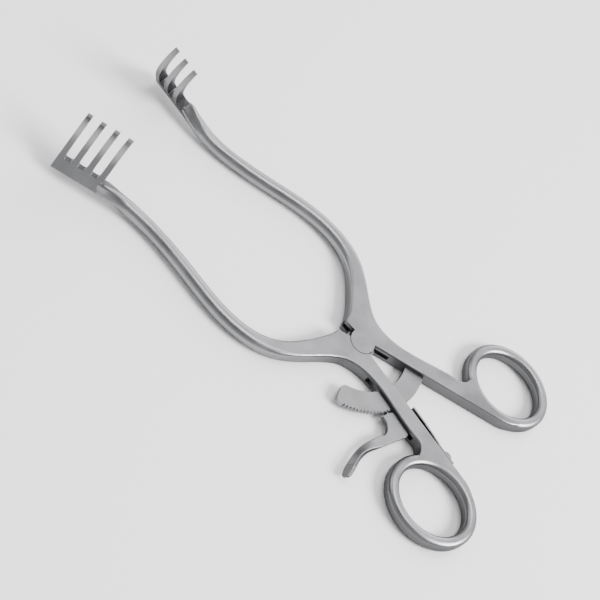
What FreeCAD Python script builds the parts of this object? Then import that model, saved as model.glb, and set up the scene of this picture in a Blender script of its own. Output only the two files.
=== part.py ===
import FreeCAD, Part
import math
import os

# Self-retaining surgical retractor with finger rings, in millimetres.
# Two bowed arms turn on a tongue-and-fork joint. A toothed bar on one shank and a sprung
# lever on the other hold them apart. The joint axis is Z, the rings lie towards +X, the
# three-prong arm lies on +Y, the prongs point up and the underside rests on Z = 0.

# Shanks and hub
body_thickness = 6.0
edge_round = 0.7
shank_inner_offset = 0.93
shank_inner_slope = 0.2545
shank_outer_points = [(5.0, 9.8), (20.0, 11.9)]
crotch = (39.8, 17.0)
crotch_round = 4.0
web_angle = 215.0
fade_angle = 334.0
fork_corner = (-9.2, 1.8)
fork_edge_y = 1.3
tongue_corner = (-9.4, 3.7)
tongue_edge_y = 2.4

# Finger rings
ring_centre = (54.0, 31.5)
ring_half_length = 16.3
ring_half_width = 14.05
ring_rim_width = 4.4
ring_rim_round = 1.9

# Joint
lobe_radius = 4.95
lobe_gap = 0.08
tongue_thickness = 2.0
tongue_radius = 6.0
tongue_end_gap = 0.3
tongue_side_gap = 0.05
joint_pin_radius = 2.0
pin_running_gap = 0.04
fork_slot_left = -14.0
fork_slot_right = 11.5
fork_slot_depth = 5.4

# Bowed arms
arm_line = [(-5.3, 7.8), (-11.9, 16.4), (-22.2, 26.9), (-38.0, 31.3),
            (-60.8, 28.2), (-87.5, 24.3), (-102.0, 26.0)]
arm_stations = 15
arm_station_bias = 1.4
bar_width = 5.2
bar_width_gain = 1.1
hub_width_gain = 5.1
hub_width_length = 6.5
bar_height = 5.2
round_start = 8.0
round_end = 42.0

arm_rise = 1.9
arm_end_length = 15.0

# Prongs
blade_splay = 13.4
blade_lean = 30.0
blade_depth = 4.9
blade_height = 5.3
blade_run_in = 3.6
blade_corner_round = 1.2
bar_end_inset = 0.25
bar_end_overlap = 1.0
foot_round = 1.0
prong_pitch = 5.25
three_prong_lead = 3.0
prong_root_width = 2.2
prong_tip_width = 1.75
prong_tip_depth = 1.15
prong_slant = 4.5
prong_straight = 8.4
prong_curl_radius = 17.7
prong_curl_turn = 59.5
gap_bottom_round = 0.7
four_prong_count = 4
three_prong_count = 3

# Ratchet bar
ratchet_inner_radius = 19.2
ratchet_outer_radius = 27.1
ratchet_thickness = 2.0
ratchet_root_angle = 26.0
ratchet_tip_angle = -78.6
# Roundings of the bar's free end, as shares of the bar's width.
ratchet_tip_inner_share = 0.25
ratchet_tip_outer_share = 0.34
tooth_pitch_angle = 2.9
tooth_depth = 0.75
tooth_gullet_share = 0.6
first_tooth_angle = -71.5
last_tooth_angle = 15.0
rivet_radius = 0.75
rivet_angle = 21.5
rivet_inset = 2.1

# Release lever
lever_pin_beyond_teeth = 3.23
lever_pin_angle = -21.06
lever_pin_radius = 1.0
pawl_angle = -34.0
pawl_lift = 0.08
pawl_root_gap = 0.15
pawl_flank_gap = 0.12
lever_back_gap = 0.9
lever_back_start = 4.5
lever_back_end = 9.0
lever_shoulder = (-1.2, 2.3)
lever_heel_reach = 3.3
lever_heel_front = (-1.4, -0.35)
lever_heel_back = (0.9, -0.6)
# Outline of the lever, measured from its pin.
lever_right_points = [(4.9, -1.1), (5.2, -6.9), (2.7, -11.9), (0.7, -15.9)]
lever_left_points = [(-3.6, -16.3), (-2.0, -14.1), (-1.3, -11.9), (-1.9, -9.7), (-5.9, -7.0)]
lever_edge_round = 0.4
# Neck of the lever as x and y from its pin, width, thickness, twist and heading in degrees.
lever_neck = [(-0.9, -14.7, 3.9, 2.0, 0.0, -20.0), (-2.6, -18.5, 3.6, 2.0, 10.0, -24.0),
              (-4.1, -22.3, 3.2, 1.9, 32.0, -20.0), (-4.8, -26.3, 3.3, 1.8, 50.0, -6.0),
              (-4.7, -30.6, 3.9, 1.7, 62.0, 4.0), (-4.3, -34.1, 4.0, 1.7, 64.0, 6.0),
              (-4.1, -36.3, 3.0, 1.4, 64.0, 6.0)]
# Ends of the shank slot on its outer and inner face, before the bar and beyond the lever pin.
shank_slot_gap = 0.25
shank_slot_before_bar = (8.0, 2.2)
shank_slot_past_pin = (7.5, 5.3)

# Leaf spring
spring_thickness = 0.6
spring_height = 5.6
spring_root_x = 52.6
spring_tip_past_pin = 0.5
spring_tip_gap = 1.05
spring_middle_gap = 0.8
spring_seat_length = 8.0
spring_heel_gap = 0.08
screw_x = 49.4
screw_head_radius = 2.1
screw_head_height = 2.1
screw_shank_radius = 0.8
screw_depth = 4.0
screw_slot_width = 0.5
screw_slot_depth = 0.45

mid_height = body_thickness / 2
long_reach = 10 * prong_curl_radius


def vec(x, y, z=0.0):
    return FreeCAD.Vector(x, y, z)


def polar(radius, degrees, z=0.0):
    angle = math.radians(degrees)
    return vec(radius * math.cos(angle), radius * math.sin(angle), z)


def line(a, b):
    return Part.LineSegment(a, b).toShape()


def arc(a, b, c):
    return Part.Arc(a, b, c).toShape()


def prism(edges, bottom, top):
    face = Part.Face(Part.Wire(edges))
    face.translate(vec(0, 0, bottom))
    return face.extrude(vec(0, 0, top - bottom))


def polygon(points):
    return [line(a, b) for a, b in zip(points, points[1:] + points[:1])]


def disc(radius, bottom, top, x=0.0, y=0.0):
    return Part.makeCylinder(radius, top - bottom, vec(x, y, bottom))


def lever_pin_centre(z=0.0):
    return polar(ratchet_outer_radius + lever_pin_beyond_teeth, lever_pin_angle, z)


def lever_pin_body(radius):
    pin = lever_pin_centre()
    return disc(radius, 0.0, body_thickness, pin.x, pin.y)


def mirrored(shape):
    return shape.mirror(vec(0, 0, 0), vec(0, 1, 0))


def inner_y(x):
    return shank_inner_offset + shank_inner_slope * x


def smooth_step(value, start, end):
    t = min(max((value - start) / (end - start), 0.0), 1.0)
    return t * t * (3 - 2 * t)


def ring_point(half_length, half_width, degrees):
    angle = math.radians(degrees)
    return vec(ring_centre[0] + half_length * math.cos(angle),
               ring_centre[1] + half_width * math.sin(angle))


def arm_curve():
    curve = Part.BSplineCurve()
    curve.interpolate([vec(x, y, mid_height) for x, y in arm_line])
    return curve


def leaning_axes(along, lean):
    # Directions across and up a bar that runs this way, turned about it by lean degrees.
    side = vec(along.y, -along.x, 0).normalize()
    up = vec(0, 0, 1)
    tip = math.radians(lean)
    return side * math.cos(tip) + up * math.sin(tip), up * math.cos(tip) - side * math.sin(tip)


def rounded_section(centre, along, width, height, corner, lean):
    # Rounded rectangle across a bar that runs level, its upper edge tipped inwards.
    across, rise = leaning_axes(along, lean)
    a = width / 2
    b = height / 2
    bend = corner * (1 - math.sqrt(0.5))

    def place(u, v):
        return centre + across * u + rise * v

    edges = []
    for su, sv in ((1, 1), (-1, 1), (-1, -1), (1, -1)):
        first = place(su * a, sv * (b - corner))
        middle = place(su * (a - bend), sv * (b - bend))
        last = place(su * (a - corner), sv * b)
        if su * sv > 0:
            edges.append(arc(first, middle, last))
        else:
            edges.append(arc(last, middle, first))
    closed = []
    for index, edge in enumerate(edges):
        following = edges[(index + 1) % 4]
        closed.append(edge)
        closed.append(line(edge.Vertexes[-1].Point, following.Vertexes[0].Point))
    return Part.Wire(closed)


def arm_bar():
    # Forged arm: flat sided and wide at the hub, round along the bow, squared and tipped
    # inwards where the prongs begin.
    curve = arm_curve()
    length = curve.length()
    sections = []
    for index in range(arm_stations):
        distance = length * (index / (arm_stations - 1)) ** arm_station_bias
        knot = curve.parameterAtDistance(distance, curve.FirstParameter)
        along = curve.tangent(knot)[0]
        width = bar_width + bar_width_gain * (1 - distance / length)
        width += hub_width_gain * math.exp(-distance / hub_width_length)
        softness = smooth_step(distance, round_start, round_end)
        height = body_thickness + (bar_height - body_thickness) * softness
        roundest = 0.48 * min(width, height)
        corner = edge_round + (roundest - edge_round) * softness
        ending = smooth_step(distance, length - arm_end_length, length)
        corner += (blade_corner_round - corner) * ending
        centre = curve.value(knot)
        centre.z += arm_rise * ending
        lean = blade_lean * ending
        sections.append(rounded_section(centre, along, width, height, corner, lean))
    sections.append(blade_section())
    return Part.makeLoft(sections, True, False)


def blade_frame():
    # Middle of the bar where the prong comb starts, its direction away from the joint, and
    # the leaning directions across and up it.
    splay = math.radians(blade_splay)
    along = vec(-math.cos(splay), math.sin(splay), 0)
    curve = arm_curve()
    start = curve.value(curve.LastParameter) + along * blade_run_in
    start.z += arm_rise
    across, rise = leaning_axes(along, blade_lean)
    return start, along, across, rise


def blade_section():
    # End of the round bar, just inside the squared blade.
    start, along, across, rise = blade_frame()
    return rounded_section(start + along * bar_end_overlap, along,
                           blade_depth - 2 * bar_end_inset, blade_height - 2 * bar_end_inset,
                           blade_corner_round, blade_lean)


def prong_profile():
    # Side outline of blade and prong: a round foot, a straight run that leans inwards and
    # a long curl that turns outwards and thins to the tip.
    start, along, across, rise = blade_frame()
    foot = foot_round - blade_height / 2
    arc_length = prong_curl_radius * math.radians(prong_curl_turn)
    run = prong_straight - foot + arc_length

    def place(u, v):
        return start + across * u + rise * v

    def depth(share):
        travelled = prong_straight - foot + arc_length * share
        return blade_depth + (prong_tip_depth - blade_depth) * travelled / run

    def curl(share, level):
        # Point on the curl at this share of its turn, level 0 inside to 1 outside.
        turn = math.radians(prong_curl_turn * share)
        radius = prong_curl_radius - depth(share) * level
        hub = prong_curl_radius - blade_depth / 2
        return place(hub - radius * math.cos(turn), prong_straight + radius * math.sin(turn))

    inner_foot = place(-blade_depth / 2, foot)
    outer_foot = place(blade_depth / 2, foot)
    turn = math.radians(prong_curl_turn)
    tip_ahead = (across * math.sin(turn) + rise * math.cos(turn)) * (prong_tip_depth / 2)
    return [line(inner_foot, curl(0.0, 0)),
            arc(curl(0.0, 0), curl(0.5, 0), curl(1.0, 0)),
            arc(curl(1.0, 0), curl(1.0, 0.5) + tip_ahead, curl(1.0, 1)),
            arc(curl(1.0, 1), curl(0.5, 1), curl(0.0, 1)),
            line(curl(0.0, 1), outer_foot),
            arc(outer_foot, place(0, -blade_height / 2), inner_foot)]


def prong_comb(count, first):
    # Prongs cut out of one blank by slanting gaps; first is where the first one begins.
    start, along, across, rise = blade_frame()
    reach = first + (count - 1) * prong_pitch + prong_root_width
    floor = blade_height / 2
    ceiling = floor + 2 * prong_curl_radius
    taper = (prong_root_width - prong_tip_width) / 2
    lean_back = math.tan(math.radians(prong_slant))
    lead = along * lean_back * (prong_straight + prong_curl_radius)
    blank = Part.Face(Part.Wire(prong_profile())).extrude(along * (reach + prong_pitch) + lead)
    blank.translate(-lead)

    def slab(near, far, bottom, top, near_spread=0.0, far_spread=0.0):
        # Slanting slab across the blade, its sides spread outwards at the top.
        def place(offset, v):
            return start + along * (offset - lean_back * v) + rise * v - across * long_reach / 2

        outline = [place(near, bottom), place(far, bottom), place(far + far_spread, top),
                   place(near - near_spread, top)]
        return Part.Face(Part.Wire(polygon(outline))).extrude(across * long_reach)

    comb = blank
    for cut in (slab(-long_reach, 0.0, -long_reach, floor),
                slab(reach, reach + long_reach, -long_reach, floor),
                slab(first - long_reach, first, floor, ceiling, far_spread=taper),
                slab(reach, reach + long_reach, floor, ceiling, near_spread=taper)):
        comb = comb.cut(cut)
    for index in range(count - 1):
        near = first + index * prong_pitch + prong_root_width
        gap = slab(near, near + prong_pitch - prong_root_width, floor, ceiling, taper, taper)
        corners = [edge for edge in gap.Edges
                   if abs((edge.CenterOfMass - start).dot(rise) - floor) < 0.01
                   and edge.Length > long_reach * 0.9]
        comb = comb.cut(gap.makeFillet(gap_bottom_round, corners))
    return comb


def handle_plate(corner, edge_y):
    # Flat hub, shank and web: the part of the forging that has flat faces.
    curve = arm_curve()
    along = curve.tangent(curve.FirstParameter)[0]
    side = vec(along.y, -along.x, 0).normalize()
    centre = curve.value(curve.FirstParameter)
    centre.z = 0.0
    half = (bar_width + bar_width_gain + hub_width_gain) / 2
    arm_outer = centre + side * half
    arm_inner = centre - side * half
    outer_half_length = ring_half_length + ring_rim_width / 2
    outer_half_width = ring_half_width + ring_rim_width / 2

    # The shank's inner face runs on as a tangent of the ring.
    reach = math.hypot(outer_half_length * shank_inner_slope, outer_half_width)
    touch_x = ring_centre[0] + outer_half_length ** 2 * shank_inner_slope / reach
    touch = vec(touch_x, inner_y(touch_x))
    shank_start = vec(lobe_radius * 0.2, inner_y(lobe_radius * 0.2))
    hub_notch = vec(-lobe_radius * 0.3, lobe_radius * 0.7)
    fade_end = ring_point(ring_half_length, ring_half_width, fade_angle)
    fade_middle = ring_point(ring_half_length + ring_rim_width * 0.36,
                             ring_half_width + ring_rim_width * 0.36, -53)
    ellipse = Part.Ellipse(vec(*ring_centre), ring_half_length, ring_half_width)
    rim = Part.ArcOfEllipse(ellipse, math.radians(web_angle), math.radians(fade_angle)).toShape()
    web_end = ring_point(ring_half_length, ring_half_width, web_angle)
    outer = Part.BSplineCurve()
    outer.interpolate([vec(*crotch)] + [vec(x, y) for x, y in reversed(shank_outer_points)]
                      + [arm_outer])
    edges = [line(shank_start, touch), arc(touch, fade_middle, fade_end), rim,
             line(web_end, vec(*crotch)),
             outer.toShape(), line(arm_outer, arm_inner), line(arm_inner, vec(*corner)),
             line(vec(*corner), vec(-lobe_radius, edge_y)),
             line(vec(-lobe_radius, edge_y), hub_notch), line(hub_notch, shank_start)]
    plate = prism(edges, 0.0, body_thickness)
    upright = [edge for edge in plate.Edges
               if abs(edge.BoundBox.ZLength - body_thickness) < 0.01
               and math.hypot(edge.BoundBox.XMin - crotch[0], edge.BoundBox.YMin - crotch[1]) < 0.1]
    plate = plate.makeFillet(crotch_round, upright)
    rims = [edge for edge in plate.Edges
            if edge.BoundBox.ZLength < 0.01 and is_outer_rim(edge, (arm_outer + arm_inner) / 2)]
    return plate.makeFillet(edge_round, rims)


def is_outer_rim(edge, hub_end):
    # Edges round the shank and web; those of the hub, of the ring's inside and of the end
    # that the bowed arm grows from stay sharp.
    middle = edge.valueAt((edge.FirstParameter + edge.LastParameter) / 2)
    shape = vec((middle.x - ring_centre[0]) / (ring_half_length + 0.05),
                (middle.y - ring_centre[1]) / (ring_half_width + 0.05)).Length
    return middle.x > lobe_radius and shape > 1.0


def finger_ring():
    ellipse = Part.Ellipse(vec(ring_centre[0], ring_centre[1], mid_height),
                           ring_half_length, ring_half_width)
    start = vec(ring_centre[0] + ring_half_length, ring_centre[1], mid_height)
    section = rounded_section(start, vec(0, 1, 0), ring_rim_width, body_thickness,
                              ring_rim_round, 0.0)
    return Part.Wire([ellipse.toShape()]).makePipeShell([section], True, True)


def arm_blank(corner, edge_y, comb):
    arm = handle_plate(corner, edge_y).fuse(arm_bar())
    arm = arm.fuse(finger_ring())
    return arm.fuse(comb)


def ratchet_seat_outline():
    return sector(ratchet_inner_radius, ratchet_outer_radius, last_tooth_angle,
                  ratchet_root_angle)


def sector(inner, outer, first, last):
    middle = (first + last) / 2
    return [arc(polar(inner, first), polar(inner, middle), polar(inner, last)),
            line(polar(inner, last), polar(outer, last)),
            arc(polar(outer, last), polar(outer, middle), polar(outer, first)),
            line(polar(outer, first), polar(inner, first))]


def three_prong_arm():
    # The fork arm: two round cheeks with a slot between them for the tongue.
    # Its prongs stand further out by this lead, so that they pass between the other four.
    comb = prong_comb(three_prong_count, three_prong_lead)
    arm = arm_blank(fork_corner, fork_edge_y, comb)
    arm = arm.fuse(disc(lobe_radius, 0.0, body_thickness))
    low = mid_height - tongue_thickness / 2 - tongue_side_gap
    high = mid_height + tongue_thickness / 2 + tongue_side_gap
    slot = disc(tongue_radius + tongue_end_gap, low, high)
    mouth = [vec(fork_slot_left, -fork_slot_depth), vec(fork_slot_right, -fork_slot_depth),
             vec(fork_slot_right, fork_slot_depth), vec(-lobe_radius, fork_slot_depth),
             vec(fork_slot_left, fork_corner[1])]
    slot = slot.fuse(prism(polygon(mouth), low, high))
    arm = arm.cut(slot)
    arm = arm.cut(disc(joint_pin_radius, 0.0, body_thickness))
    low = mid_height - ratchet_thickness / 2
    arm = arm.cut(prism(ratchet_seat_outline(), low, low + ratchet_thickness))
    for rivet in rivets():
        arm = arm.cut(rivet)
    return arm


def shank_slot():
    first_outer, first_inner = [ratchet_inner_radius - before for before in shank_slot_before_bar]
    last_outer, last_inner = [lever_pin_centre().x + past for past in shank_slot_past_pin]
    overrun = body_thickness
    slope = (first_outer - first_inner) / body_thickness
    points = [vec(first_outer + slope * overrun, -inner_y(first_outer) - 2 * overrun),
              vec(last_outer + 1.0, -inner_y(last_outer) - 2 * overrun),
              vec(last_inner, -inner_y(last_inner) + overrun),
              vec(first_inner, -inner_y(first_inner) + overrun)]
    half = ratchet_thickness / 2 + shank_slot_gap
    return prism(polygon(points), mid_height - half, mid_height + half)


def four_prong_arm():
    # The tongue arm: recessed above and below for the fork's cheeks, slotted through the
    # shank for the ratchet bar and the release lever.
    comb = prong_comb(four_prong_count, 0.0)
    arm = mirrored(arm_blank(tongue_corner, tongue_edge_y, comb))
    half = tongue_thickness / 2
    recess = lobe_radius + lobe_gap
    arm = arm.cut(disc(recess, 0.0, mid_height - half))
    arm = arm.cut(disc(recess, mid_height + half, body_thickness))
    arm = arm.fuse(disc(tongue_radius, mid_height - half, mid_height + half))
    arm = arm.cut(disc(joint_pin_radius + pin_running_gap, 0.0, body_thickness))
    arm = arm.cut(shank_slot())
    arm = arm.cut(lever_pin_body(lever_pin_radius))
    return arm.cut(screw_body())


def rivets():
    rings = [ratchet_inner_radius + rivet_inset, ratchet_outer_radius - rivet_inset]
    return [disc(rivet_radius, 0.0, body_thickness, polar(radius, rivet_angle).x,
                 polar(radius, rivet_angle).y) for radius in rings]


def engaged_pawl():
    # Lever angle and nose angle when the pawl sits in a gullet, from the triangle of the
    # joint axis, the lever pin and the pawl's nose.
    pin = lever_pin_centre()
    nose = polar(ratchet_outer_radius + pawl_lift, pawl_angle)
    arm = nose - pin
    seated = ratchet_outer_radius - tooth_depth + pawl_root_gap

    def corner_angle(radius):
        cosine = (radius ** 2 - pin.Length ** 2 - arm.Length ** 2) / (2 * pin.Length * arm.Length)
        return math.degrees(math.acos(cosine))

    turn = corner_angle(seated) - corner_angle(nose.Length)
    turned = FreeCAD.Rotation(vec(0, 0, 1), -turn).multVec(arm) + pin
    return -turn, math.degrees(math.atan2(turned.y, turned.x))


def ratchet_bar():
    seat_angle = engaged_pawl()[1]
    half = tooth_pitch_angle * tooth_gullet_share / 2
    crest = ratchet_outer_radius
    root = ratchet_outer_radius - tooth_depth
    first = math.ceil((first_tooth_angle - seat_angle) / tooth_pitch_angle)
    last = math.floor((last_tooth_angle - seat_angle) / tooth_pitch_angle)
    outer = [arc(polar(crest, ratchet_tip_angle), polar(crest, ratchet_tip_angle + 0.5),
                 polar(crest, seat_angle + first * tooth_pitch_angle - half))]
    for index in range(first, last + 1):
        angle = seat_angle + index * tooth_pitch_angle
        outer.append(line(polar(crest, angle - half), polar(root, angle)))
        outer.append(line(polar(root, angle), polar(crest, angle + half)))
        following = angle + tooth_pitch_angle - half
        if index < last:
            outer.append(line(polar(crest, angle + half), polar(crest, following)))
    plain = seat_angle + last * tooth_pitch_angle + half
    middle = (plain + ratchet_root_angle) / 2
    outer.append(arc(polar(crest, plain), polar(crest, middle), polar(crest, ratchet_root_angle)))
    inner_middle = (ratchet_root_angle + ratchet_tip_angle) / 2
    edges = outer + [line(polar(crest, ratchet_root_angle),
                          polar(ratchet_inner_radius, ratchet_root_angle)),
                     arc(polar(ratchet_inner_radius, ratchet_root_angle),
                         polar(ratchet_inner_radius, inner_middle),
                         polar(ratchet_inner_radius, ratchet_tip_angle)),
                     line(polar(ratchet_inner_radius, ratchet_tip_angle),
                          polar(crest, ratchet_tip_angle))]
    low = mid_height - ratchet_thickness / 2
    bar = prism(edges, low, low + ratchet_thickness)
    width = ratchet_outer_radius - ratchet_inner_radius
    for radius, share in ((ratchet_inner_radius, ratchet_tip_inner_share),
                          (ratchet_outer_radius, ratchet_tip_outer_share)):
        corner = polar(radius, ratchet_tip_angle, mid_height)
        tip = [edge for edge in bar.Edges if (edge.CenterOfMass - corner).Length < 0.01]
        bar = bar.makeFillet(width * share, tip)
    for rivet in rivets():
        bar = bar.cut(rivet)
    return bar


def spring_face(x):
    return vec(x, -inner_y(x))


def screw_frame():
    # Seat of the spring screw on the shank's inner face, and the way its head points.
    along = vec(1, -shank_inner_slope).normalize()
    outward = vec(-along.y, along.x)
    seat = spring_face(screw_x) + vec(0, 0, mid_height)
    return seat, along, outward


def screw_body():
    seat, along, outward = screw_frame()
    return Part.makeCylinder(screw_shank_radius, screw_depth + spring_thickness,
                             seat - outward * screw_depth, outward)


def spring_screw():
    seat, along, outward = screw_frame()
    top = seat + outward * spring_thickness
    head = Part.makeCylinder(screw_head_radius, screw_head_height, top, outward)
    rim = [edge for edge in head.Edges
           if (edge.CenterOfMass - top).dot(outward) > screw_head_height / 2
           and len(edge.Vertexes) == 1]
    head = head.makeFillet(screw_head_height * 0.5, rim)
    slot = Part.makeBox(4 * screw_head_radius, screw_slot_depth * 2, screw_slot_width)
    slot.translate(vec(-2 * screw_head_radius, -screw_slot_depth, -screw_slot_width / 2))
    slot.rotate(vec(0, 0, 0), vec(0, 0, 1), math.degrees(math.atan2(along.y, along.x)))
    slot.translate(top + outward * screw_head_height)
    return head.fuse(screw_body()).cut(slot).removeSplitter()


def spring_line(offset):
    # Plan line of the leaf: flat on its seat, then bowed away from the shank.
    seat, along, outward = screw_frame()
    root = spring_face(spring_root_x) + outward * offset
    bend = spring_face(screw_x - spring_seat_length / 2) + outward * offset
    tip_x = lever_pin_centre().x + spring_tip_past_pin
    middle = spring_face((bend.x + tip_x) / 2) + outward * (offset + spring_middle_gap)
    tip = spring_face(tip_x) + outward * (offset + spring_tip_gap)
    return root, bend, middle, tip


def leaf_spring():
    near = spring_line(0.0)
    far = spring_line(spring_thickness)
    edges = [line(near[0], near[1]), arc(near[1], near[2], near[3]), line(near[3], far[3]),
             arc(far[3], far[2], far[1]), line(far[1], far[0]), line(far[0], near[0])]
    low = mid_height - spring_height / 2
    leaf = prism(edges, low, low + spring_height)
    return leaf.cut(screw_body())


def heel_gap_point(x):
    # Point just under the leaf at this distance along the shank.
    seat, along, outward = screw_frame()
    near = spring_line(0.0)
    leaf = Part.Arc(near[1], near[2], near[3])
    probe = Part.LineSegment(spring_face(x) - outward * 5, spring_face(x) + outward * 5)
    hit = leaf.toShape().distToShape(probe.toShape())[1][0][0]
    return hit - outward * spring_heel_gap


def lever_nose():
    # Corners of the pawl's nose, which fits a gullet of the ratchet once it is seated.
    half = math.radians(tooth_pitch_angle * tooth_gullet_share / 2)
    turn, seat_angle = engaged_pawl()
    nose_half = half * ratchet_outer_radius - pawl_flank_gap
    tip = polar(ratchet_outer_radius + pawl_lift, pawl_angle)
    inward = FreeCAD.Rotation(vec(0, 0, 1), -turn).multVec(polar(1, seat_angle))
    tangent = vec(-inward.y, inward.x)
    root = tip + inward * tooth_depth
    return root - tangent * nose_half, tip, root + tangent * nose_half


def lever_plate():
    # Flat part of the lever: pawl, boss round its pin, heel under the leaf and finger arm.
    pin = lever_pin_centre()
    back_radius = ratchet_outer_radius + lever_back_gap
    heel = heel_gap_point(pin.x + lever_heel_reach)
    left = Part.BSplineCurve()
    left.interpolate([pin + vec(x, y) for x, y in lever_left_points])
    nose = lever_nose()
    corners = [nose[0], nose[1], nose[2], polar(back_radius, pawl_angle + lever_back_start),
               polar(back_radius, pawl_angle + lever_back_end),
               pin + vec(*lever_shoulder), heel + vec(*lever_heel_front), heel,
               heel + vec(*lever_heel_back)]
    corners += [pin + vec(x, y) for x, y in lever_right_points]
    edges = [line(a, b) for a, b in zip(corners, corners[1:])]
    edges.append(line(corners[-1], left.value(left.FirstParameter)))
    edges.append(left.toShape())
    edges.append(line(left.value(left.LastParameter), corners[0]))
    low = mid_height - ratchet_thickness / 2
    return prism(edges, low, low + ratchet_thickness)


def lever_pad():
    # Neck and thumb pad: a ribbon that twists on edge as it leaves the flat plate.
    sections = []
    for x, y, width, thickness, twist, heading in lever_neck:
        along = vec(math.sin(math.radians(heading)), -math.cos(math.radians(heading)))
        sections.append(rounded_section(lever_pin_centre(mid_height) + vec(x, y), along, width,
                                        thickness, lever_edge_round, -twist))
    return Part.makeLoft(sections, True, False)


def release_lever():
    lever = lever_plate().fuse(lever_pad())
    return lever.cut(lever_pin_body(lever_pin_radius + pin_running_gap))


def main():
    os.makedirs("parts", exist_ok=True)
    nodes = {
        "four_prong_arm": four_prong_arm(),
        "three_prong_arm": three_prong_arm(),
        "joint_pin": disc(joint_pin_radius, 0.0, body_thickness),
        "ratchet_bar": ratchet_bar(),
        "ratchet_rivets": Part.makeCompound(rivets()),
        "release_lever": release_lever(),
        "lever_pin": lever_pin_body(lever_pin_radius),
        "leaf_spring": leaf_spring(),
        "spring_screw": spring_screw(),
    }
    for name, shape in nodes.items():
        shape.exportStep("parts/" + name + ".step")
        box = shape.BoundBox
        print(name, len(shape.Solids), shape.isValid(), round(shape.Volume, 2),
              [round(v, 2) for v in (box.XMin, box.XMax, box.YMin, box.YMax, box.ZMin, box.ZMax)])
    print("lever angle with the pawl seated, nose angle", engaged_pawl())


main()
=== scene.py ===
import math

import bpy
from mathutils import Matrix, Vector


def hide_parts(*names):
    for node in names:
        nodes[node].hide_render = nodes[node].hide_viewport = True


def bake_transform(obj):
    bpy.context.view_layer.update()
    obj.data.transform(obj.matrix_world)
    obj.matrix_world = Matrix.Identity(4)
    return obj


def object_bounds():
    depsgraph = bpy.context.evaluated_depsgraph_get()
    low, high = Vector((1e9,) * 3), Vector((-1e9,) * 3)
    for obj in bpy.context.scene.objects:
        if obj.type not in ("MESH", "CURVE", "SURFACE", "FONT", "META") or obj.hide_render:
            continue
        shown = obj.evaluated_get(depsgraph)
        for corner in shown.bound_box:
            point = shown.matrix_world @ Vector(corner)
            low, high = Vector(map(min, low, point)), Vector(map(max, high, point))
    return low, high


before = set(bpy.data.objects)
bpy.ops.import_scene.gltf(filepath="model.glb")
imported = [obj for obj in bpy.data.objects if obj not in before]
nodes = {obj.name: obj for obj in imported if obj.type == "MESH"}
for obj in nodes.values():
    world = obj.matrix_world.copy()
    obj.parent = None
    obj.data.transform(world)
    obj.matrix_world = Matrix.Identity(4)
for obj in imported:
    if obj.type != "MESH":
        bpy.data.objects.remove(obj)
cad_low, cad_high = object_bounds()

# Camera: it looks down on the instrument from the prong side, rolled so that the prongs
# come out at the top left and the finger rings at the bottom right.
camera_place = Vector((-0.0434, -0.3082, 0.3863))
camera_right = Vector((0.7431, 0.5076, 0.4360))
camera_up = Vector((-0.6683, 0.5958, 0.4454))
lens_length = 81.36
sensor_width = 36.0
nearest_view = 0.01
farthest_view = 20.0
camera_data = bpy.data.cameras.new("photo_camera")
camera_data.sensor_width = sensor_width
camera_data.lens = lens_length
camera_data.clip_start = nearest_view
camera_data.clip_end = farthest_view
camera = bpy.data.objects.new("photo_camera", camera_data)
bpy.context.scene.collection.objects.link(camera)
camera_back = camera_right.cross(camera_up).normalized()
camera.matrix_world = Matrix((
    (camera_right.x, camera_up.x, camera_back.x, camera_place.x),
    (camera_right.y, camera_up.y, camera_back.y, camera_place.y),
    (camera_right.z, camera_up.z, camera_back.z, camera_place.z),
    (0.0, 0.0, 0.0, 1.0)))
bpy.context.scene.camera = camera

# Floor: a wide sheet of plain white studio paper, just under the flat underside of the
# hub, the shanks and the rings.
floor_size = 6.0
floor_drop = 0.00002
paper_white = (0.97, 0.97, 0.97, 1.0)
paper_roughness = 0.9
paper_sheen = 0.1
bpy.ops.object.select_all(action="DESELECT")
bpy.ops.mesh.primitive_plane_add(size=floor_size, location=(0, 0, cad_low.z - floor_drop))
floor = bpy.context.object
floor.name = "studio_paper"
paper = bpy.data.materials.new("studio_paper")
paper.use_nodes = True
paper_shader = paper.node_tree.nodes["Principled BSDF"]
paper_shader.inputs["Base Color"].default_value = paper_white
paper_shader.inputs["Roughness"].default_value = paper_roughness
paper_shader.inputs["Specular IOR Level"].default_value = paper_sheen
floor.data.materials.append(paper)

# Studio light: a soft tent, brightest low down behind the instrument, dim overhead, and
# lighter again low down in front. One softbox hangs above and one stands on each side.
tent_bright_side = (0.1, 0.93, 0.35)
tent_front_light = (1.25, 1.26, 1.28, 1.0)
tent_back_light = (5.6, 5.6, 5.7, 1.0)
# Share of the way round from the front to the back, and the light there.
tent_levels = ((0.2, 0.75), (0.45, 0.3), (0.68, 0.3), (0.86, 0.9), (0.94, 1.05))
tent_blue_share = 1.02
# Name, place, spot it aims at, width in metres and power in watts.
softboxes = (
    ("softbox_above", (0.0, 0.25, 1.0), (0.0, 0.0, 0.0), 0.5, 5.0),
    ("softbox_left", (-0.95, 0.05, 0.9), (-0.03, 0.0, 0.0), 0.6, 4.0),
    ("softbox_right", (0.95, 0.1, 0.9), (0.0, 0.0, 0.0), 0.6, 34.0))


def fade(tree, value, start, end, start_level, end_level):
    change = tree.nodes.new("ShaderNodeMapRange")
    change.inputs["From Min"].default_value = start
    change.inputs["From Max"].default_value = end
    change.inputs["To Min"].default_value = start_level
    change.inputs["To Max"].default_value = end_level
    tree.links.new(value, change.inputs["Value"])
    return change.outputs["Result"]


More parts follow.
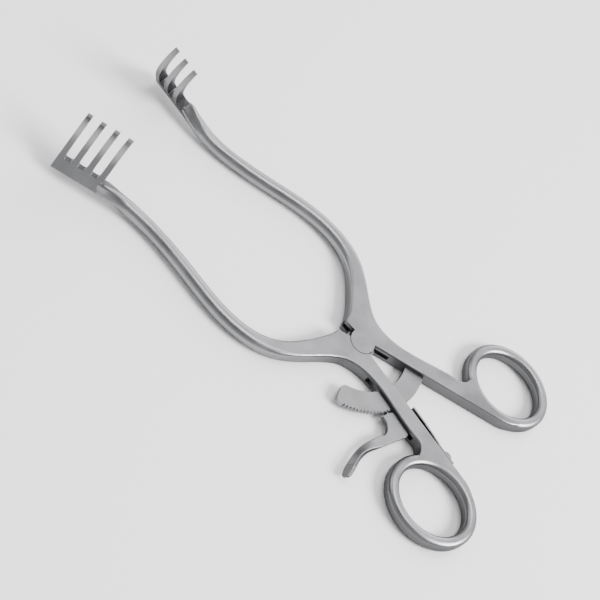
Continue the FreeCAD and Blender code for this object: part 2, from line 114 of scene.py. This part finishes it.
world = bpy.data.worlds.new("light_tent")
world.use_nodes = True
tent = world.node_tree
tent_light = tent.nodes["Background"]
tent_light.inputs["Strength"].default_value = 1.0
heading = tent.nodes.new("ShaderNodeTexCoord")
towards_back = tent.nodes.new("ShaderNodeVectorMath")
towards_back.operation = "DOT_PRODUCT"
towards_back.inputs[1].default_value = tent_bright_side
tent.links.new(heading.outputs["Generated"], towards_back.inputs[0])
front_to_back = fade(tent, towards_back.outputs["Value"], -1.0, 1.0, 0.0, 1.0)
tent_tone = tent.nodes.new("ShaderNodeValToRGB")
tent_tone.color_ramp.interpolation = "EASE"
tent_tone.color_ramp.elements[0].position = 0.0
tent_tone.color_ramp.elements[0].color = tent_front_light
tent_tone.color_ramp.elements[1].position = 1.0
tent_tone.color_ramp.elements[1].color = tent_back_light
for position, level in tent_levels:
    stop = tent_tone.color_ramp.elements.new(position)
    stop.color = (level, level, level * tent_blue_share, 1.0)
tent.links.new(front_to_back, tent_tone.inputs["Fac"])
tent.links.new(tent_tone.outputs["Color"], tent_light.inputs["Color"])
bpy.context.scene.world = world
for name, place, target, size, power in softboxes:
    box_data = bpy.data.lights.new(name, "AREA")
    box_data.shape = "SQUARE"
    box_data.size = size
    box_data.energy = power
    box = bpy.data.objects.new(name, box_data)
    bpy.context.scene.collection.objects.link(box)
    box.location = place
    aim = Vector(target) - Vector(place)
    box.rotation_mode = "QUATERNION"
    box.rotation_quaternion = aim.to_track_quat("-Z", "Y")

# Four-prong arm: one forging of stainless steel with the tongue of the joint, a shank
# slotted for the ratchet and a finger ring. It is ground, then bead blasted to a satin.
steel_edge_tint = (0.5, 0.5, 0.5, 1.0)
blotch_scale = 90.0
blotch_detail = 5.0
speckle_scale = 2600.0
speckle_detail = 3.0
speckle_share = 0.45
speckle_depth = 0.00003
noise_low = 0.3
noise_high = 0.7
dark_share = 0.8
light_share = 1.16
gloss_spread = 0.06
edge_samples = 6
wall_levelness = 0.35
flat_levelness = 0.85
round_arms_end_x = -0.010
flat_plates_start_x = -0.002
# The colour sockets of a Mix node, which share their names with its number sockets.
mix_colour_a = 6
mix_colour_b = 7
mix_colour_result = 2


def noise(tree, place, scale, detail):
    cloud = tree.nodes.new("ShaderNodeTexNoise")
    cloud.inputs["Scale"].default_value = scale
    cloud.inputs["Detail"].default_value = detail
    tree.links.new(place, cloud.inputs["Vector"])
    return cloud.outputs["Fac"]


def axes_of(tree, vector):
    axes = tree.nodes.new("ShaderNodeSeparateXYZ")
    tree.links.new(vector, axes.inputs["Vector"])
    return axes.outputs


def darken(tree, colour, tone):
    shade = tree.nodes.new("ShaderNodeMix")
    shade.data_type = "RGBA"
    shade.blend_type = "MULTIPLY"
    shade.inputs["Factor"].default_value = 1.0
    tree.links.new(colour, shade.inputs[mix_colour_a])
    tree.links.new(tone, shade.inputs[mix_colour_b])
    return shade.outputs[mix_colour_result]


# The last argument darkens the side walls with painted shade.
def satin_steel(name, colour, roughness, grain, edge_radius, painted_wall_shade=1.0):
    steel = bpy.data.materials.new(name)
    steel.use_nodes = True
    tree = steel.node_tree
    shader = tree.nodes["Principled BSDF"]
    shader.inputs["Metallic"].default_value = 1.0
    shader.inputs["Specular Tint"].default_value = steel_edge_tint
    place = tree.nodes.new("ShaderNodeTexCoord")

    # Wide faint blotches and a fine speckle vary the tone.
    blotches = noise(tree, place.outputs["Object"], blotch_scale, blotch_detail)
    speckle = noise(tree, place.outputs["Object"], speckle_scale, speckle_detail)
    mottle = tree.nodes.new("ShaderNodeMix")
    mottle.inputs["Factor"].default_value = speckle_share
    tree.links.new(blotches, mottle.inputs["A"])
    tree.links.new(speckle, mottle.inputs["B"])
    tone = tree.nodes.new("ShaderNodeValToRGB")
    for end, position, share in ((0, noise_low, dark_share), (1, noise_high, light_share)):
        tone.color_ramp.elements[end].position = position
        tone.color_ramp.elements[end].color = [channel * share for channel in colour] + [1.0]
    tree.links.new(mottle.outputs["Result"], tone.inputs["Fac"])

    # Side walls of the flat hub, shanks and rings get painted shade: their colour is darkened
    # against the flats.
    levelness = tree.nodes.new("ShaderNodeMath")
    levelness.operation = "ABSOLUTE"
    tree.links.new(axes_of(tree, place.outputs["Normal"])["Z"], levelness.inputs[0])
    painted_wall_shade_level = fade(tree, levelness.outputs["Value"], wall_levelness, flat_levelness,
                        painted_wall_shade, 1.0)
    along = axes_of(tree, place.outputs["Object"])["X"]
    on_plates = fade(tree, along, round_arms_end_x, flat_plates_start_x, 0.0, 1.0)
    painted_wall_shading = tree.nodes.new("ShaderNodeMix")
    painted_wall_shading.inputs["A"].default_value = 1.0
    tree.links.new(on_plates, painted_wall_shading.inputs["Factor"])
    tree.links.new(painted_wall_shade_level, painted_wall_shading.inputs["B"])
    steel_colour = darken(tree, tone.outputs["Color"], painted_wall_shading.outputs["Result"])
    tree.links.new(steel_colour, shader.inputs["Base Color"])

    # The blotches vary the gloss too, the speckle roughens the face, and edges are eased.
    gloss = fade(tree, blotches, noise_low, noise_high,
                 roughness - gloss_spread, roughness + gloss_spread)
    tree.links.new(gloss, shader.inputs["Roughness"])
    edges = tree.nodes.new("ShaderNodeBevel")
    edges.inputs["Radius"].default_value = edge_radius
    edges.samples = edge_samples
    bump = tree.nodes.new("ShaderNodeBump")
    bump.inputs["Strength"].default_value = grain
    bump.inputs["Distance"].default_value = speckle_depth
    tree.links.new(speckle, bump.inputs["Height"])
    tree.links.new(edges.outputs["Normal"], bump.inputs["Normal"])
    tree.links.new(bump.outputs["Normal"], shader.inputs["Normal"])
    return steel


def dress(node, material):
    cad_piece = nodes[node]
    cad_piece.data.materials.clear()
    cad_piece.data.materials.append(material)


# The bottoms of the gaps between the prongs stay rough from the saw, and their colour is
# darkened with painted shade.
sawn_shaded_steel = satin_steel("sawn_shaded_steel", (0.12, 0.12, 0.124), 0.5, 0.6, 0.0001)
comb_start_x = -0.107
gap_floor_top_z = 0.0082
gap_facing_cosine = 0.93


# Puts the rough steel with its painted shade on the low faces at the bottoms of the gaps.
def saw_and_shade_gaps(node, gap_normal):
    cad_piece = nodes[node]
    cad_piece.data.materials.append(sawn_shaded_steel)
    for face in cad_piece.data.polygons:
        low_on_comb = face.center.x < comb_start_x and face.center.z < gap_floor_top_z
        if low_on_comb and face.normal.dot(gap_normal) > gap_facing_cosine:
            face.material_index = 1


# The edge of the recess for the round cheek shows as a thin dark line in the top face.
# This finish darkens the side walls of the arms and the lever with painted shade.
blasted_finish = {"colour": (0.26, 0.26, 0.268), "roughness": 0.34, "grain": 0.35,
                  "edge_radius": 0.00015, "painted_wall_shade": 0.45}
socket_steel = satin_steel("socket_steel", **blasted_finish)
recess_radius = 0.005030
seam_width = 0.00028
seam_dark_share = 0.6
seam_tone = 0.12
seam_tree = socket_steel.node_tree
seam_place = seam_tree.nodes.new("ShaderNodeTexCoord")
seam_flat = seam_tree.nodes.new("ShaderNodeVectorMath")
seam_flat.operation = "MULTIPLY"
seam_flat.inputs[1].default_value = (1.0, 1.0, 0.0)
seam_tree.links.new(seam_place.outputs["Object"], seam_flat.inputs[0])
seam_radius = seam_tree.nodes.new("ShaderNodeVectorMath")
seam_radius.operation = "LENGTH"
seam_tree.links.new(seam_flat.outputs["Vector"], seam_radius.inputs[0])
seam_shade = fade(seam_tree, seam_radius.outputs["Value"],
                  recess_radius + seam_width * seam_dark_share, recess_radius + seam_width,
                  seam_tone, 1.0)
socket_shader = seam_tree.nodes["Principled BSDF"]
socket_colour = socket_shader.inputs["Base Color"].links[0].from_socket
seamed_colour = darken(seam_tree, socket_colour, seam_shade)
seam_tree.links.new(seamed_colour, socket_shader.inputs["Base Color"])
dress("four_prong_arm", socket_steel)
gap_normal = Vector((-0.1, 0.49, 0.87))
saw_and_shade_gaps("four_prong_arm", gap_normal)

# Three-prong arm: the matching stainless forging, with the fork of the joint and the seat of
# the ratchet bar. It is ground and bead blasted like the other.
blasted_steel = satin_steel("blasted_steel", **blasted_finish)
dress("three_prong_arm", blasted_steel)
mirrored_gap_normal = Vector((gap_normal.x, -gap_normal.y, gap_normal.z))
saw_and_shade_gaps("three_prong_arm", mirrored_gap_normal)

# Joint pin: a plain round pin of hardened stainless steel. It is pressed into both cheeks of
# the fork, turns in the tongue, and is ground flush with the flats.
ground_steel = satin_steel("ground_steel", (0.27, 0.27, 0.275), 0.3, 0.2, 0.0001)
dress("joint_pin", ground_steel)

# Ratchet bar: a curved bar of stainless plate, centred on the joint. It is blanked out, has V
# teeth milled along its outer edge, and is riveted into the slot of the three-prong shank.
toothed_steel = satin_steel("toothed_steel", (0.25, 0.25, 0.256), 0.34, 0.3, 0.0001)
dress("ratchet_bar", toothed_steel)

# Ratchet rivets: two short stainless pins through the three-prong shank and the bar's root.
# They are hammered tight and ground flush, so they hardly show.
dress("ratchet_rivets", ground_steel)

# Release lever: pawl, heel and twisted thumb piece in one piece of stainless steel, blasted
# like the arms. Fine grooves across its tip, 0.9 mm apart, keep the thumb from slipping.
groove_scale = 349.0
groove_depth = 0.00025
grip_start_y = -0.0425
grip_full_y = -0.0430
grip_steel = satin_steel("grip_steel", **blasted_finish)
grip_tree = grip_steel.node_tree
grip_place = grip_tree.nodes.new("ShaderNodeTexCoord")
groove_waves = grip_tree.nodes.new("ShaderNodeTexWave")
groove_waves.bands_direction = "Y"
groove_waves.inputs["Scale"].default_value = groove_scale
grip_tree.links.new(grip_place.outputs["Object"], groove_waves.inputs["Vector"])
grip_spot_y = axes_of(grip_tree, grip_place.outputs["Object"])["Y"]
on_grip = fade(grip_tree, grip_spot_y, grip_start_y, grip_full_y, 0.0, 1.0)
groove_height = grip_tree.nodes.new("ShaderNodeMath")
groove_height.operation = "MULTIPLY"
grip_tree.links.new(groove_waves.outputs["Fac"], groove_height.inputs[0])
grip_tree.links.new(on_grip, groove_height.inputs[1])
groove_bump = grip_tree.nodes.new("ShaderNodeBump")
groove_bump.inputs["Distance"].default_value = groove_depth
grip_tree.links.new(groove_height.outputs["Value"], groove_bump.inputs["Height"])
grip_shader = grip_tree.nodes["Principled BSDF"]
blasted_normal = grip_shader.inputs["Normal"].links[0].from_socket
grip_tree.links.new(blasted_normal, groove_bump.inputs["Normal"])
grip_tree.links.new(groove_bump.outputs["Normal"], grip_shader.inputs["Normal"])
dress("release_lever", grip_steel)

# Lever pin: a short stainless pin that the release lever turns on. It is pressed through the
# slotted four-prong shank and ground flush.
dress("lever_pin", ground_steel)

# Leaf spring: a narrow bent strip of rolled spring steel. Its screw clamps one end to the
# four-prong shank, and the other end presses on the heel of the lever. The real strip bends as
# that turns; here its mesh is only copied, welded and shaded smooth, and the copy is shown
# instead.
rolled_steel = satin_steel("rolled_steel", (0.32, 0.32, 0.32), 0.28, 0.15, 0.0001)
weld_distance = 0.000002
smooth_angle = math.radians(30.0)
bending_leaf = bpy.data.objects.new("bending_leaf", nodes["leaf_spring"].data.copy())
bpy.context.scene.collection.objects.link(bending_leaf)
bpy.ops.object.select_all(action="DESELECT")
bending_leaf.select_set(True)
bpy.context.view_layer.objects.active = bending_leaf
bpy.ops.mesh.customdata_custom_splitnormals_clear()
bpy.ops.object.mode_set(mode="EDIT")
bpy.ops.mesh.select_all(action="SELECT")
bpy.ops.mesh.remove_doubles(threshold=weld_distance)
bpy.ops.object.mode_set(mode="OBJECT")
bpy.ops.object.shade_smooth_by_angle(angle=smooth_angle)
bending_leaf.data.materials.clear()
bending_leaf.data.materials.append(rolled_steel)
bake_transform(bending_leaf)
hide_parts("leaf_spring")

# Spring screw: a small turned screw of stainless steel with a slotted cheese head. It is
# driven into the edge of the shank and clamps the leaf spring.
dress("spring_screw", ground_steel)
